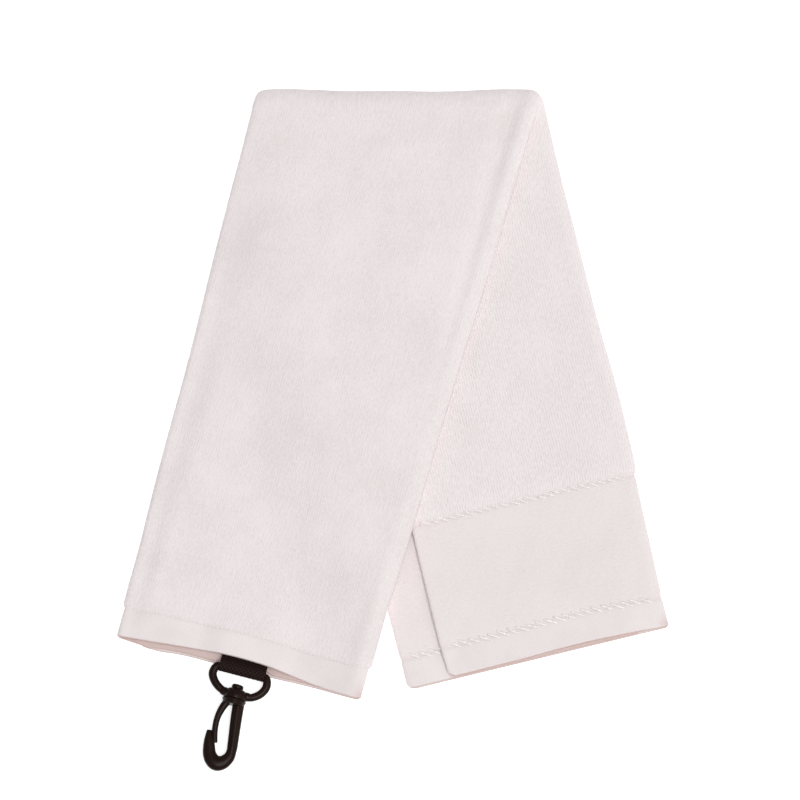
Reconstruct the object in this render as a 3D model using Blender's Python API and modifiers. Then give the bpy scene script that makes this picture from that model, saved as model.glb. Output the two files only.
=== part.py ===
"""Golf towel with a swivel snap hook, laid flat.

The cloth is folded in three along its length, like a letter: the middle panel, the
under flap H turned in from the left edge, and the top flap T turned in from the right
edge. The strip is then folded over in half, so a front leg lies on a back leg and the
two spread like an upside-down V. A black webbing loop sewn into the end of the front
leg holds a plastic ring, and a snap hook with a spring gate turns in the ring's boss.

Lengths are in millimetres here and are written to the scene in metres.
The back leg lies on the surface at z = 0, and +Y points from the hook to the fold.
"""

import math

import bmesh
import bpy
from mathutils import Matrix, Vector

MM = 0.001
COLLECTION = "golf_towel"
GAP = 0.3

# cloth
PILE = 2.4
WOVEN = 1.9
PITCH = 2.9
FIRST = PILE / 2
UNDER_FLAP = 131.0
TOP_FLAP = 124.0
LEFT_TURN = PITCH / 2
RIGHT_TURN = PITCH
FOLD_RADIUS = 2.5 * PITCH
LAP = 1.0
FOLD_HEIGHT = FIRST + FOLD_RADIUS
FRONT_LIFT = 3 * PITCH
DRAPE = 55.0

# corners of the middle panel on each leg, at the fold and at the end
FOLD_Y = 182.55
BACK = {
    "fold": (Vector((-71.0, FOLD_Y)), Vector((82.8, FOLD_Y))),
    "end": (Vector((9.2, -143.65)), Vector((152.5, -108.45))),
}
FRONT = {
    "fold": (Vector((-77.5, FOLD_Y)), Vector((80.0, FOLD_Y))),
    "end": (Vector((-152.5, -114.45)), Vector((-18.7, -151.45))),
}
LEG_LENGTH = 322.0
# the weave's cross lines stay parallel to an end for this far, then turn to the fold
SQUARE = 95.0

# strips across the border end, as distances from that end
BORDER_HEM = 13.5
CORD_WIDTH = 3.0
BORDER_BAND = 68.0
# the plain hem at the hook end
HOOK_HEM = 17.0
HEM_THREAD = 0.35
SIDE_HEM = 4.5
END_BOW = 3.6
END_BOW_REACH = 90.0

# webbing loop, ring and hook: t runs out from the towel, l across it
BAR_CENTRE = Vector((-83.6, -134.75, 6.7))
HOOK_TURN = math.radians(-14.7)
WEBBING_WIDTH = 25.4
WEBBING_THICK = 1.05
TAIL_END = -17.5
TAIL_START = -4.6
BAR_RADIUS = 2.0
WEB_RISE = 1.8
WEB_RISE_REACH = 24.0
ROD_RADIUS = 1.9
BORE_RADIUS = 2.5
GATE_PIVOT = (20.9, -4.9)
NOTCH_GAP = 0.4

WHITE = (0.86, 0.82, 0.82, 1)
WOVEN_WHITE = (0.84, 0.80, 0.80, 1)
BLACK = (0.018, 0.014, 0.013, 1)
WEB_BLACK = (0.014, 0.011, 0.011, 1)


def clear_scene():
    for obj in list(bpy.data.objects):
        bpy.data.objects.remove(obj, do_unlink=True)


def new_collection(name):
    collection = bpy.data.collections.new(name)
    bpy.context.scene.collection.children.link(collection)
    return collection


def material(name, colour, roughness):
    found = bpy.data.materials.get(name) or bpy.data.materials.new(name)
    found.use_nodes = True
    shader = found.node_tree.nodes["Principled BSDF"]
    shader.inputs["Base Color"].default_value = colour
    shader.inputs["Roughness"].default_value = roughness
    shader.inputs["Metallic"].default_value = 0.0
    return found


def add_object(name, data, collection, look=None):
    obj = bpy.data.objects.new(name, data)
    collection.objects.link(obj)
    if look:
        data.materials.append(look)
    return obj


def smoothstep(share):
    share = min(1.0, max(0.0, share))
    return share * share * (3 - 2 * share)


# ---------------------------------------------------------------- folded cloth


def letter_fold(width, detail):
    """The strip's section from the under flap's free edge to the top flap's, as
    (distance from the left edge, level), where level 0 is the middle panel, 1 the
    under flap and 2 the top flap."""
    points = []
    for i in range(detail + 1):
        points.append((UNDER_FLAP + (LEFT_TURN - UNDER_FLAP) * i / detail, 1.0))
    turn = 6
    for i in range(1, turn):
        angle = math.pi * i / turn
        across = LEFT_TURN - LEFT_TURN * math.sin(angle)
        points.append((across, 0.5 + 0.5 * math.cos(angle)))
    for i in range(detail + 1):
        points.append((LEFT_TURN + (width - RIGHT_TURN - LEFT_TURN) * i / detail, 0.0))
    for i in range(1, turn):
        angle = math.pi * i / turn
        across = width - RIGHT_TURN + RIGHT_TURN * math.sin(angle)
        points.append((across, 1.0 - math.cos(angle)))
    for i in range(detail + 1):
        points.append((width - RIGHT_TURN + (RIGHT_TURN - TOP_FLAP) * i / detail, 2.0))
    return points


def edge_point(end, fold, distance):
    """A point on a leg's edge, by its distance from the end along the leg's middle."""
    length = (fold - end).length
    if distance > SQUARE:
        stretch = (length - SQUARE) / (LEG_LENGTH - SQUARE)
        distance = SQUARE + (distance - SQUARE) * stretch
    return end.lerp(fold, distance / length)


def panel_edges(leg, distance):
    """Left and right edge of a leg's middle panel at a distance from its end."""
    left = edge_point(leg["end"][0], leg["fold"][0], distance)
    return left, edge_point(leg["end"][1], leg["fold"][1], distance)


def leg_run(leg):
    """Direction from the fold to the end, along the middle of a leg."""
    middles = [(leg[k][0] + leg[k][1]) / 2 for k in ("fold", "end")]
    return (middles[1] - middles[0]).normalized().to_3d()


def in_plan(leg, distance, across):
    left, right = panel_edges(leg, distance)
    return left.lerp(right, across / (right - left).length)


def back_height(level):
    return FIRST + PITCH * level


def drape(plan):
    """Height of the front leg's underside: on the back leg, or down on the surface."""
    top, bottom = BACK["fold"][0], BACK["end"][0]
    run = (bottom - top).normalized()
    beside = Vector((run.y, -run.x))
    outside = (plan - top).dot(beside)
    return FRONT_LIFT + (GAP - FRONT_LIFT) * smoothstep(outside / DRAPE)


def bar_offset(plan):
    """A point in plan, as (t, l) from the middle of the ring's bar."""
    step = plan - BAR_CENTRE.xy
    t = step.dot(Vector((math.sin(HOOK_TURN), -math.cos(HOOK_TURN))))
    return t, step.dot(Vector((math.cos(HOOK_TURN), math.sin(HOOK_TURN))))


def web_rise(plan, level):
    """The middle panel rides up over the webbing's tail between it and the flap."""
    t, l = bar_offset(plan)
    beyond = max(0.0, abs(l) - WEBBING_WIDTH / 2 - 2) / WEB_RISE_REACH
    behind = max(0.0, TAIL_END - 1 - t) / WEB_RISE_REACH
    near = (1 - smoothstep(beyond)) * (1 - smoothstep(behind))
    return WEB_RISE * near * max(0.0, 1 - level)


def back_point(distance, across, level):
    plan = in_plan(BACK, distance, across)
    return Vector((plan.x, plan.y, back_height(level)))


def end_bow(distance, across, level):
    """How far the hook end is drawn back towards the fold, most at mid width. The top
    flap, which is lowest on this leg, stays straight."""
    left, right = panel_edges(FRONT, distance)
    share = min(1.0, max(0.0, across / (right - left).length))
    near_end = smoothstep(1 - distance / END_BOW_REACH)
    return END_BOW * math.sin(math.pi * share) * near_end * min(1.0, 2 - level)


def front_point(distance, across, level):
    plan = in_plan(FRONT, distance, across)
    plan = plan - leg_run(FRONT).xy * end_bow(distance, across, level)
    height = drape(plan) + FIRST + PITCH * (2 - level) + web_rise(plan, level)
    return Vector((plan.x, plan.y, height))


def bend_point(turn, across_share, level):
    """A point on the fold over, turn from 0 at the back leg to 1 at the front leg."""
    radius = FOLD_HEIGHT - back_height(level)
    start = BACK["fold"][0].lerp(BACK["fold"][1], across_share)
    end = FRONT["fold"][0].lerp(FRONT["fold"][1], across_share)
    x = start.x + (end.x - start.x) * turn
    angle = math.pi * turn
    y = FOLD_Y + radius * math.sin(angle)
    return Vector((x, y, FOLD_HEIGHT - radius * math.cos(angle)))


def cloth_object(name, rows, thickness, collection, look):
    """A strip of cloth: an open grid of rows of points, made solid on both sides."""
    mesh = bpy.data.meshes.new(name)
    count = len(rows[0])
    faces = []
    for r in range(len(rows) - 1):
        for c in range(count - 1):
            a = r * count + c
            faces.append((a, a + 1, a + count + 1, a + count))
    mesh.from_pydata([p * MM for row in rows for p in row], [], faces)
    obj = add_object(name, mesh, collection, look)
    solid = obj.modifiers.new("thickness", "SOLIDIFY")
    solid.thickness = thickness * MM
    solid.offset = 0
    return obj


def leg_strip(name, leg, point, start, end, cuts, detail, thickness, collection, look):
    """The folded cloth between two distances from a leg's end. A thinner weave lies
    lower, so that its underside is level with the pile's."""
    settle = Vector((0, 0, (thickness - PILE) / 2))
    rows = []
    for i in range(cuts + 1):
        distance = start + (end - start) * i / cuts
        left, right = panel_edges(leg, distance)
        section = letter_fold((right - left).length, detail)
        row = [point(distance, across, level) + settle for across, level in section]
        rows.append(row)
    return cloth_object(name, rows, thickness, collection, look)


def fold_over(collection, look):
    width = (BACK["fold"][1] - BACK["fold"][0]).length
    section = letter_fold(width, 2)
    steps = 10
    rows = []
    for i in range(steps + 1):
        row = [bend_point(i / steps, across / width, lv) for across, lv in section]
        rows.append(row)
    # a short flat lap along each leg squares the solid's ends to the legs' cloth
    rows.insert(0, [p + leg_run(BACK) * LAP for p in rows[0]])
    rows.append([p + leg_run(FRONT) * LAP for p in rows[-1]])
    return cloth_object("fold_over_bend", rows, PILE, collection, look)


# ---------------------------------------------------------------- threads


def tube_curve(name, points, radii, sides_level, collection, look=None, cyclic=False):
    """A round tube through points, with a radius at each."""
    curve = bpy.data.curves.new(name, "CURVE")
    curve.dimensions = "3D"
    curve.bevel_depth = MM
    curve.bevel_resolution = sides_level
    curve.use_fill_caps = not cyclic
    spline = curve.splines.new("POLY")
    spline.points.add(len(points) - 1)
    for knot, point, radius in zip(spline.points, points, radii):
        knot.co = (*(point * MM), 1)
        knot.radius = radius
    spline.use_cyclic_u = cyclic
    return add_object(name, curve, collection, look)


def hem_thread(collection, look):
    """Lock stitch that holds the hook end's hem, lying on the middle panel."""
    distance = HOOK_HEM - 1.5
    left, right = panel_edges(FRONT, distance)
    width = (right - left).length
    clear = WOVEN - PILE / 2 + GAP + HEM_THREAD
    steps = 28
    points = []
    for i in range(steps + 1):
        across = 4 + (width - 8) * i / steps
        points.append(front_point(distance, across, 0.0) + Vector((0, 0, clear)))
    radii = [HEM_THREAD] * len(points)
    return tube_curve("hook_hem_thread", points, radii, 1, collection, look)


def flap_thread(collection, look):
    """Stitching along the narrow side hem on the top flap's free edge."""
    clear = PILE / 2 + GAP + HEM_THREAD
    start, end, steps = BORDER_HEM + CORD_WIDTH, SQUARE, 8
    points = []
    for i in range(steps + 1):
        distance = start + (end - start) * i / steps
        left, right = panel_edges(BACK, distance)
        across = (right - left).length - TOP_FLAP + SIDE_HEM
        points.append(back_point(distance, across, 2.0) + Vector((0, 0, clear)))
    radii = [HEM_THREAD] * len(points)
    return tube_curve("flap_side_thread", points, radii, 1, collection, look)


# ---------------------------------------------------------------- hook assembly


def put_on_bar(obj, t=0.0, l=0.0):
    """Places an object made about (t, l) on the hook's own axes."""
    turn = Matrix.Rotation(HOOK_TURN, 4, "Z")
    obj.location = (BAR_CENTRE + turn @ Vector((l, -t, 0))) * MM
    obj.rotation_euler = (0, 0, HOOK_TURN)


def smooth_path(points, steps, cyclic=False):
    """Points of a Catmull-Rom curve through (t, l, radius) values."""
    count = len(points)
    spans = count if cyclic else count - 1
    path = []
    for i in range(spans):
        if cyclic:
            ring = [Vector(points[(i + k - 1) % count]) for k in range(4)]
        else:
            ring = [Vector(points[min(max(i + k - 1, 0), count - 1)]) for k in range(4)]
        before, start, end, after = ring
        for k in range(steps):
            u = k / steps
            first = start * 2 + (end - before) * u
            second = (before * 2 - start * 5 + end * 4 - after) * u * u
            third = (start * 3 - before - end * 3 + after) * u**3
            path.append((first + second + third) / 2)
    if not cyclic:
        path.append(Vector(points[-1]))
    return path


def tube_mesh(name, path, origin, grow, sides_level, collection, cyclic=False):
    """A tube through (t, l, radius) values about origin, made a plain mesh."""
    points = [Vector((l - origin[1], -(t - origin[0]), 0)) for t, l, _ in path]
    radii = [radius + grow for _, _, radius in path]
    tube = tube_curve(name, points, radii, sides_level, collection, None, cyclic)
    bpy.context.view_layer.update()
    evaluated = tube.evaluated_get(bpy.context.evaluated_depsgraph_get())
    mesh = bpy.data.meshes.new_from_object(evaluated)
    welded = bmesh.new()
    welded.from_mesh(mesh)
    bmesh.ops.remove_doubles(welded, verts=welded.verts, dist=1e-6)
    bmesh.ops.recalc_face_normals(welded, faces=welded.faces)
    welded.to_mesh(mesh)
    welded.free()
    bpy.data.objects.remove(tube, do_unlink=True)
    return add_object(name, mesh, collection)


def turned(name, profile, origin_t, segments, collection):
    """A solid turned about the hook's long axis from (radius, t) points."""
    mesh = bpy.data.meshes.new(name)
    points = [(radius * MM, -(t - origin_t) * MM, 0) for radius, t in profile]
    mesh.from_pydata(points, [(i, i + 1) for i in range(len(points) - 1)], [])
    obj = add_object(name, mesh, collection)
    screw = obj.modifiers.new("turn", "SCREW")
    screw.axis = "Y"
    screw.steps = segments
    screw.render_steps = segments
    screw.use_merge_vertices = True
    screw.merge_threshold = 0.00001
    return obj


def cutter(obj):
    obj.hide_render = True
    obj.display_type = "WIRE"
    return obj


def boolean(obj, other, operation):
    modifier = obj.modifiers.new(other.name, "BOOLEAN")
    modifier.operation = operation
    modifier.object = other
    modifier.solver = "EXACT"


def webbing_loop(collection, look):
    """Webbing folded round the ring's bar, with both ends sewn into the hem."""
    outer = BAR_RADIUS + GAP + WEBBING_THICK
    inner = BAR_RADIUS + GAP
    reach = math.hypot(TAIL_START, WEBBING_THICK)
    tilt = math.atan2(WEBBING_THICK, -TAIL_START)
    touch = math.pi - tilt - math.acos(outer / reach)
    tail = [(TAIL_START, WEBBING_THICK), (TAIL_END, WEBBING_THICK)]
    outline = []
    steps = 16
    for i in range(steps + 1):
        angle = -touch + 2 * touch * i / steps
        outline.append((outer * math.cos(angle), outer * math.sin(angle)))
    outline += tail
    outline += [(t, -z) for t, z in reversed(tail)]
    point = TAIL_START + 0.6
    close = math.pi - math.acos(inner / -point)
    hole = [(point, 0.0)]
    for i in range(steps + 1):
        angle = close - 2 * close * i / steps
        hole.append((inner * math.cos(angle), inner * math.sin(angle)))
    curve = bpy.data.curves.new("webbing_loop", "CURVE")
    curve.dimensions = "2D"
    curve.fill_mode = "BOTH"
    curve.extrude = WEBBING_WIDTH / 2 * MM
    for ring in (outline, hole):
        spline = curve.splines.new("POLY")
        spline.points.add(len(ring) - 1)
        for knot, (t, z) in zip(spline.points, ring):
            knot.co = (t * MM, z * MM, 0, 1)
        spline.use_cyclic_u = True
    obj = add_object("webbing_loop", curve, collection, look)
    put_on_bar(obj)
    # the outline's x runs out along t, its y up, and the extrusion across
    obj.rotation_euler = (math.pi / 2, 0, HOOK_TURN - math.pi / 2)
    return obj


def swivel_ring(collection, cutters, look):
    half = [(0, 0), (0, 12.0), (1.3, 14.7), (5.4, 15.6), (9.7, 13.4), (12.9, 9.0), (14.1, 3.5)]
    left = [(t, -l) for t, l in reversed(half[1:])]
    knots = [(t, l, BAR_RADIUS if t < 1 else ROD_RADIUS) for t, l in half + left]
    path = smooth_path(knots, 3, cyclic=True)
    ring = tube_mesh("swivel_ring", path, (0, 0), 0, 2, collection, cyclic=True)
    ring.data.materials.append(look)
    profile = [(0, 11.3), (3.9, 11.3), (5.2, 12.3), (5.9, 13.8), (5.9, 16.2), (0, 16.2)]
    boss = cutter(turned("ring_boss", profile, 0, 24, cutters))
    bore = [(0, 9.0), (BORE_RADIUS, 9.0), (BORE_RADIUS, 18.0), (0, 18.0)]
    hole = cutter(turned("ring_bore", bore, 0, 16, cutters))
    for obj in (ring, boss, hole):
        put_on_bar(obj)
    boolean(ring, boss, "UNION")
    boolean(ring, hole, "DIFFERENCE")
    return ring


def gate_path():
    """Middle line of the spring gate, from its root to its tip on the nose."""
    knots = [(20.3, -4.7, 0.9), (21.6, -5.1, 1.7), (24.5, -5.9, 1.75), (28.5, -6.6, 1.6),
             (33, -6.8, 1.45), (37.4, -6.4, 1.35), (41.1, -5.6, 1.3), (43.9, -4.8, 1.25)]
    return smooth_path(knots, 2)


def hook_body(collection, cutters, look):
    profile = [(0, 9.5), (2.1, 9.5), (2.8, 10.1), (2.8, 10.95), (2.15, 11.0), (2.15, 16.5),
               (5.8, 16.5), (6.2, 16.9), (6.2, 19.1), (5.6, 19.6), (0, 19.6)]
    hook = turned("hook_body", profile, 0, 24, collection)
    hook.data.materials.append(look)
    knots = [(17.6, 2.7, 3.1), (26, 3.5, 3.05), (36.4, 4.8, 2.85), (44.2, 5.75, 2.75),
             (49.1, 5.3, 3.0), (52.8, 2.9, 3.5), (54.6, -0.6, 3.75), (53.4, -4.4, 3.75),
             (49.8, -6.9, 3.3), (45.4, -7.7, 2.9), (41.2, -8.7, 2.0), (38.8, -9.1, 1.2)]
    arm = tube_mesh("hook_arm", smooth_path(knots, 3), (0, 0), 0, 2, cutters)
    notch = tube_mesh("gate_notch", gate_path(), (0, 0), NOTCH_GAP, 2, cutters)
    for obj in (hook, cutter(arm), cutter(notch)):
        put_on_bar(obj)
    boolean(hook, arm, "UNION")
    boolean(hook, notch, "DIFFERENCE")
    return hook


def spring_gate(collection, look):
    gate = tube_mesh("spring_gate", gate_path(), GATE_PIVOT, 0, 2, collection)
    gate.data.materials.append(look)
    put_on_bar(gate, *GATE_PIVOT)
    return gate


def main():
    clear_scene()
    parts = new_collection(COLLECTION)
    cutters = new_collection("cutters")
    terry = material("cotton_pile", WHITE, 0.95)
    woven = material("flat_woven_cotton", WOVEN_WHITE, 0.85)
    cord = material("rayon_cord", WOVEN_WHITE, 0.55)
    thread = material("white_thread", WOVEN_WHITE, 0.6)
    web = material("black_webbing", WEB_BLACK, 0.8)
    plastic = material("black_plastic", BLACK, 0.38)

    lower = BORDER_HEM
    band = lower + CORD_WIDTH
    upper = band + BORDER_BAND
    terry_start = upper + CORD_WIDTH
    back_strips = [
        ("border_end_hem", 0, lower - GAP, 1, WOVEN, woven),
        ("lower_border_cord", lower, band - GAP, 1, WOVEN, cord),
        ("border_band", band, upper - GAP, 2, WOVEN, woven),
        ("upper_border_cord", upper, terry_start - GAP, 1, WOVEN, cord),
        ("back_half_cloth", terry_start, LEG_LENGTH - LAP - 2 * GAP, 4, PILE, terry),
    ]
    for name, start, end, cuts, thickness, look in back_strips:
        leg_strip(name, BACK, back_point, start, end, cuts, 4, thickness, parts, look)
    fold_over(parts, terry)
    front_strips = [
        ("hook_end_hem", 0, HOOK_HEM - GAP, 2, WOVEN, woven),
        ("front_half_cloth", HOOK_HEM, LEG_LENGTH - LAP - 2 * GAP, 14, PILE, terry),
    ]
    for name, start, end, cuts, thickness, look in front_strips:
        leg_strip(name, FRONT, front_point, start, end, cuts, 12, thickness, parts, look)
    hem_thread(parts, thread)
    flap_thread(parts, thread)
    webbing_loop(parts, web)
    swivel_ring(parts, cutters, plastic)
    hook_body(parts, cutters, plastic)
    spring_gate(parts, plastic)


main()
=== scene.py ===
"""Looks of the golf towel: one folded sheet of cotton with woven borders and stitching,
a webbing loop, and the moulded ring, snap hook and spring gate.

Lengths are in millimetres until a mesh is written. Plan positions are the frame's X and Y.
"""
import math

import bmesh
import bpy
import numpy as np
from mathutils import Matrix, Vector


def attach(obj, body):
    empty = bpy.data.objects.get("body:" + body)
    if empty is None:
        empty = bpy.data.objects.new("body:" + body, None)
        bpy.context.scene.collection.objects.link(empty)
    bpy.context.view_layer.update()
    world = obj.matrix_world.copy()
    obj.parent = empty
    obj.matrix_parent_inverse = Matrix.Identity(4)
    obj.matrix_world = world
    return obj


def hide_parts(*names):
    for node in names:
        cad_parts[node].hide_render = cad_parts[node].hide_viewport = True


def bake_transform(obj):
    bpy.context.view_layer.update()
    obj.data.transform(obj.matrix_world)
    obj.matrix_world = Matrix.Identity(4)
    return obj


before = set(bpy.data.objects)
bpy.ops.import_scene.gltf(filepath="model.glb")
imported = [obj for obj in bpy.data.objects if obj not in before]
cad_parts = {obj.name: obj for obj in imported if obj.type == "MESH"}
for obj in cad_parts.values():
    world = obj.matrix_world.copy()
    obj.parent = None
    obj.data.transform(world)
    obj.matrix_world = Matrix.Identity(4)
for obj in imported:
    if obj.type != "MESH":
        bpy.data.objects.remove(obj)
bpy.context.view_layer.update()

MM = 0.001

# ---- driving sizes

FLAT = (0.406, 0.660)  # the opened towel, in metres
CLOTH_WIDTH, CLOTH_LENGTH = FLAT[0] / MM, FLAT[1] / MM
PILE = 2.5  # thickness where the cloth has pile
WOVEN = 1.85  # thickness of the flat-woven ends
PITCH = 2.9  # from one layer to the next
FIRST = 1.2  # height of the lowest layer
UNDER_FLAP = 131.0  # the panel that is folded in
TOP_FLAP = 124.0  # the panel on the outside
LEFT_TURN = 1.45  # how far in the left turn begins
ROLL_WIDTH = 5.5  # how far in the rolled right edge begins
FOLD_RADIUS = 7.25
FOLD_HEIGHT = FIRST + FOLD_RADIUS
FOLD_CALM = 26.0  # the cloth lies smooth this close to the half fold
FRONT_LIFT = 8.7  # under the front leg, where it lies on the back leg
FLOOR_GAP = 0.3
DRAPE = 55.0  # the front leg steps down over this distance
FOLD_Y = 182.55
LEG_LENGTH = 322.0
SQUARE = 95.0  # this much of each leg's end is not stretched
BACK = {
    "fold": np.array([[-71.0, FOLD_Y], [82.8, FOLD_Y]]),
    "end": np.array([[9.2, -143.95], [152.5, -108.8]]),
}
FRONT = {
    "fold": np.array([[-77.5, FOLD_Y], [80.0, FOLD_Y]]),
    "end": np.array([[-152.5, -114.45], [-18.7, -151.45]]),
}
HOOK_HEM = 17.0
HOOK_GROOVE = HOOK_HEM - 0.8
LOWER_CORD = (14.4, 17.7)
UPPER_CORD = (85.7, 88.7)
SIDE_HEM = 4.5
CORNER = 2.0  # how far the half fold's right end stands out
CORNER_RADIUS = 3.5

BAR = np.array([-83.6, -134.75, 6.7])
HOOK_TURN = math.radians(-14.7)
OUTWARD = np.array([math.sin(HOOK_TURN), -math.cos(HOOK_TURN)])
SIDEWAYS = np.array([math.cos(HOOK_TURN), math.sin(HOOK_TURN)])
HOOK_MATRIX = Matrix.Translation(Vector(BAR) * MM) @ Matrix.Rotation(HOOK_TURN, 4, "Z")
WEB_THICK = 1.05
BAR_RADIUS = 2.0
GATE_KNOTS = [  # t, l, half width and half depth, from root to tip
    (18.4, -3.4, 2.2, 2.1), (21.2, -4.75, 2.1, 2.05), (24.5, -5.75, 2.0, 2.0),
    (28.5, -6.45, 1.8, 1.9), (33.0, -6.4, 1.75, 1.85), (37.4, -5.75, 1.7, 1.8),
    (40.6, -4.9, 1.65, 1.75), (42.7, -4.3, 1.55, 1.7),
]
STRAP_STEPS = 40
STITCH_PITCH = 2.35

CAMERA_ELEVATION = math.radians(80)
CAMERA_DISTANCE = 6.0
CAMERA_AIM = Vector((4.2, 17.9, 8.0)) * MM
FRAME_WIDTH = 0.4462
WORLD_STRENGTH = 0.40
LIGHTS = (  # name, place, size and power
    ("key", (1.5, -1.64, 7.7), 5.6, 397.0),
    ("side", (5.6, 0.4, 4.0), 2.6, 32.0),
)
FLOOR_SIZE = 8.0
FLOOR_Z = -0.0004
FLOOR_GLOW = 0.62


def smooth(x):
    x = np.clip(x, 0.0, 1.0)
    return x * x * (3 - 2 * x)


def bump_at(x, middle, width):
    return np.exp(-(((x - middle) / width) ** 2))


def unit(vectors):
    return vectors / np.linalg.norm(vectors, axis=-1, keepdims=True)


def run_along(line):
    """How far along a line each of its points lies."""
    return np.concatenate([[0], np.cumsum(np.linalg.norm(np.diff(line, axis=0), axis=1))])


def points_at(reach, run, line):
    """The places at the distances reach on a line whose points lie at the distances run."""
    return np.stack([np.interp(reach, run, values) for values in line.T], -1)


# ---- camera and light


def aimed(name, data, place, toward):
    """An object at a place, looking along a direction."""
    made = bpy.data.objects.new(name, data)
    bpy.context.scene.collection.objects.link(made)
    made.location = place
    made.rotation_mode = "QUATERNION"
    made.rotation_quaternion = toward.to_track_quat("-Z", "Y")
    return made


def set_camera():
    data = bpy.data.cameras.new("camera")
    data.sensor_width = 36.0
    data.lens = data.sensor_width * CAMERA_DISTANCE / FRAME_WIDTH
    data.clip_start = 0.05
    data.clip_end = 50.0
    back = Vector((0, -math.cos(CAMERA_ELEVATION), math.sin(CAMERA_ELEVATION)))
    camera = aimed("camera", data, CAMERA_AIM + back * CAMERA_DISTANCE, -back)
    bpy.context.scene.camera = camera


def set_light():
    world = bpy.data.worlds.new("studio")
    bpy.context.scene.world = world
    world.use_nodes = True
    background = world.node_tree.nodes["Background"]
    background.inputs["Color"].default_value = (1, 1, 1, 1)
    background.inputs["Strength"].default_value = WORLD_STRENGTH
    for name, place, size, power in LIGHTS:
        data = bpy.data.lights.new(name, "AREA")
        data.shape = "DISK"
        data.size = size
        data.energy = power
        aimed(name, data, place, CAMERA_AIM - Vector(place))
    bpy.context.scene.view_settings.view_transform = "Standard"


def make_floor():
    bpy.ops.mesh.primitive_plane_add(size=FLOOR_SIZE, location=(0, 0, FLOOR_Z))
    floor = bpy.context.object
    floor.name = "floor"
    look = bpy.data.materials.new("floor")
    look.use_nodes = True
    shader = look.node_tree.nodes["Principled BSDF"]
    shader.inputs["Base Color"].default_value = (0.8, 0.8, 0.8, 1)
    shader.inputs["Roughness"].default_value = 1.0
    shader.inputs["Specular IOR Level"].default_value = 0.0
    shader.inputs["Emission Color"].default_value = (1, 1, 1, 1)
    shader.inputs["Emission Strength"].default_value = FLOOR_GLOW
    floor.data.materials.append(look)


# ---- node helpers


class Nodes:
    """Short calls for building one material's node tree."""

    def __init__(self, name):
        self.material = bpy.data.materials.new(name)
        self.material.use_nodes = True
        self.tree = self.material.node_tree
        self.shader = self.tree.nodes["Principled BSDF"]

    def node(self, kind, **values):
        made = self.tree.nodes.new(kind)
        for key, value in values.items():
            setattr(made, key, value)
        return made

    def link(self, out, to):
        self.tree.links.new(out, to)

    def fill(self, socket, value):
        if isinstance(value, bpy.types.NodeSocket):
            self.link(value, socket)
        else:
            socket.default_value = value

    def math(self, operation, a, b=0.0, c=0.0):
        made = self.node("ShaderNodeMath", operation=operation)
        for socket, value in zip(made.inputs, (a, b, c)):
            self.fill(socket, value)
        return made.outputs[0]

    def weighted(self, a, a_weight, b, b_weight):
        a, b = self.math("MULTIPLY", a, a_weight), self.math("MULTIPLY", b, b_weight)
        return self.math("ADD", a, b)

    def between(self, value, low, high):
        """0 below low, 1 above high, smooth between."""
        made = self.node("ShaderNodeMapRange", interpolation_type="SMOOTHSTEP")
        self.fill(made.inputs["Value"], value)
        made.inputs["From Min"].default_value = low
        made.inputs["From Max"].default_value = high
        return made.outputs["Result"]

    def attribute(self, name):
        return self.node("ShaderNodeAttribute", attribute_name=name)

    def scaled(self, vector, scale):
        made = self.node("ShaderNodeVectorMath", operation="MULTIPLY")
        self.link(vector, made.inputs[0])
        made.inputs[1].default_value = scale
        return made.outputs["Vector"]

    def noise(self, vector, scale, detail=2.0, rough=0.5):
        made = self.node("ShaderNodeTexNoise")
        self.link(vector, made.inputs["Vector"])
        made.inputs["Scale"].default_value = scale
        made.inputs["Detail"].default_value = detail
        made.inputs["Roughness"].default_value = rough
        return made.outputs["Fac"]

    def mix(self, share, a, b):
        made = self.node("ShaderNodeMix", data_type="RGBA")
        self.fill(made.inputs["Factor"], share)
        self.fill(made.inputs[6], a)
        self.fill(made.inputs[7], b)
        return made.outputs[2]

    def with_painted_shade(self, colour):
        """The cloth's colour with painted shade: warmer and darker in the thread grooves, on the
        lower layers' ends and on the cut rim.
        """
        return self.mix(self.attribute("painted_shade").outputs["Fac"], colour, PAINTED_SHADE_TONE)

    def bump(self, height, distance, strength):
        made = self.node("ShaderNodeBump")
        made.inputs["Distance"].default_value = distance
        made.inputs["Strength"].default_value = strength
        self.link(height, made.inputs["Height"])
        return made.outputs["Normal"]

    def finish(self, colour, roughness, normal, **constants):
        self.fill(self.shader.inputs["Base Color"], colour)
        self.fill(self.shader.inputs["Roughness"], roughness)
        self.link(normal, self.shader.inputs["Normal"])
        for key, value in constants.items():
            self.shader.inputs[key.replace("_", " ")].default_value = value
        return self.material

    def finish_cloth(self, colour, roughness, normal, sheen, specular):
        return self.finish(
            self.with_painted_shade(colour), roughness, normal,
            Sheen_Weight=sheen, Sheen_Roughness=0.5, Specular_IOR_Level=specular,
        )


# painted shade: the warm dark tone mixed into the cloth in the thread grooves, on the lower
# layers' ends and on the rim
PAINTED_SHADE_TONE = (0.60, 0.430, 0.395, 1)
WHITE = (0.885, 0.818, 0.822, 1)
LOOP_WHITE = (0.900, 0.832, 0.836, 1)
LOOP_SHADE = (0.805, 0.735, 0.735, 1)
SHADE = (0.795, 0.725, 0.725, 1)
WOVEN_WHITE = (0.855, 0.790, 0.784, 1)
WOVEN_SHADE = (0.800, 0.730, 0.722, 1)
HEM_WHITE = (0.864, 0.804, 0.798, 1)
CORD_WHITE = (0.975, 0.940, 0.940, 1)
CORD_SHADE = (0.800, 0.735, 0.735, 1)
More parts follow.
